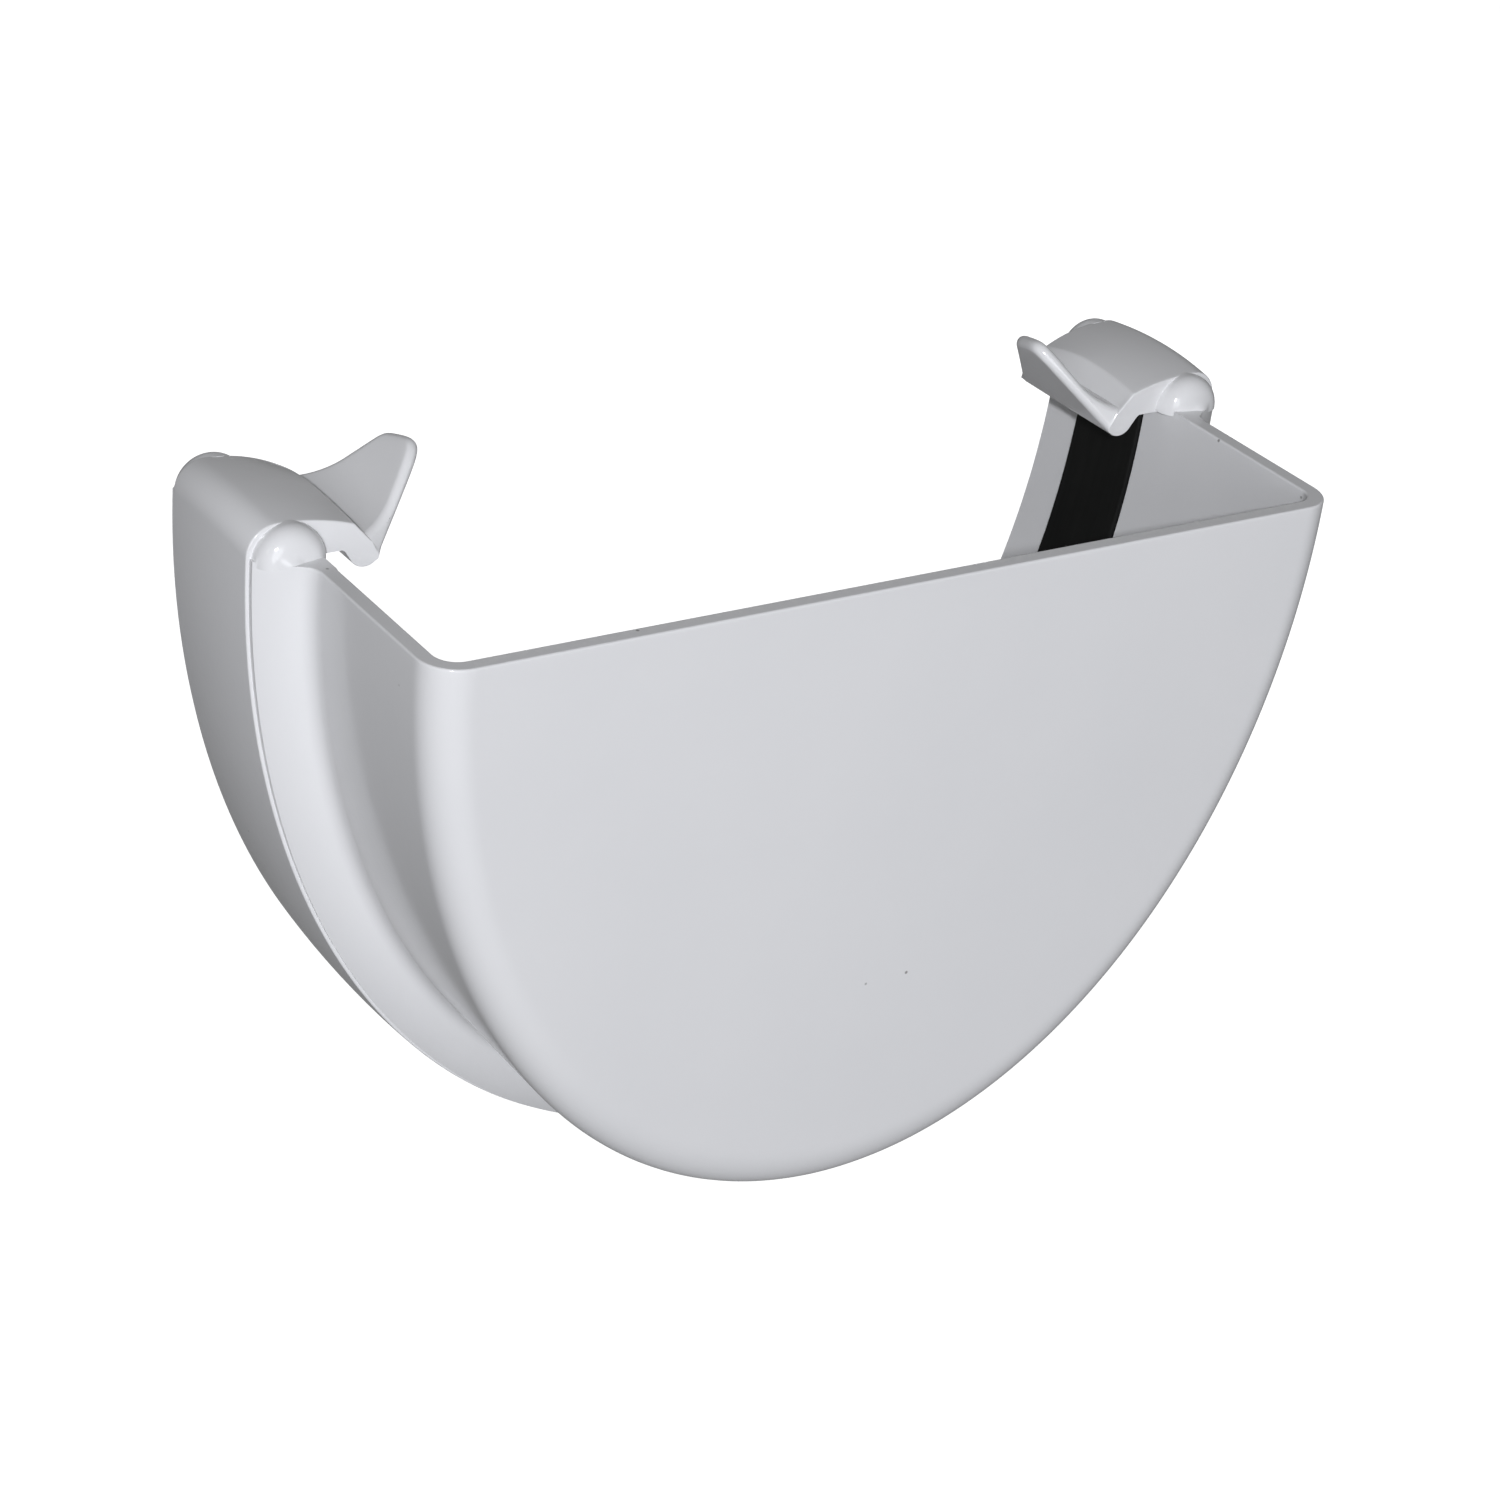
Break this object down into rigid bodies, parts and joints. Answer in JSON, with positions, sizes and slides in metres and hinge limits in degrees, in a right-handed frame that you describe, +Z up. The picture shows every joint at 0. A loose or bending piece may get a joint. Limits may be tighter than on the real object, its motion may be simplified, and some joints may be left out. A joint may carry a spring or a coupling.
{
  "type": "gutter stop end",
  "caption": "White plastic external stop end that closes a deep half-elliptical rain gutter, with moulded snap clips at the rim and a black rubber seal.",
  "frame": {"origin": "middle of the rim, at the level of the wall's top edge and on the outer face of the end plate", "axes": "+X across the gutter to the right when facing the end plate, +Y back along the gutter towards the open mouth, +Z up"},
  "size_m": [0.1324, 0.0531, 0.0949],
  "materials": {
    "white_plastic": "smooth glossy moulding",
    "black_rubber": "smooth matt rubber"
  },
  "bodies": {
    "root": {"stop_end_body": "white_plastic", "gutter_seal": "black_rubber"}
  },
  "joints": []
}
